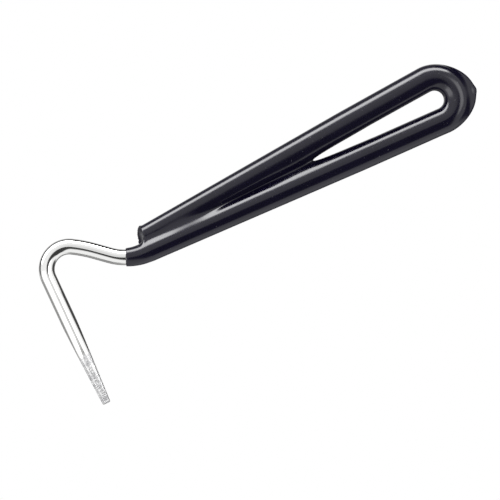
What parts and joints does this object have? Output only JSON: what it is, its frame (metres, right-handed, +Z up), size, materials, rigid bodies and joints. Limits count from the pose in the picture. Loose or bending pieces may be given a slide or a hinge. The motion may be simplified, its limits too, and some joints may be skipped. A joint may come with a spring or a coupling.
{
  "type": "hoof pick",
  "caption": "Hand tool for cleaning a horse's hoof: a bent plated steel rod with a hooked chisel tip, and a dipped vinyl grip over its finger loop handle.",
  "frame": {"origin": "middle of the underside of the whole tool's box, as it lies flat", "axes": "+X along the handle from the hook to the loop end, the chisel tip points to -Y, +Z up, square to the plane of the bends"},
  "size_m": [0.1906, 0.067, 0.0105],
  "materials": {
    "plated_steel": "bright plated steel, ground and matt at the chisel tip",
    "vinyl": "glossy dipped vinyl, blue-black"
  },
  "bodies": {
    "root": {"steel_rod": "plated_steel", "vinyl_grip": "vinyl"}
  },
  "joints": []
}
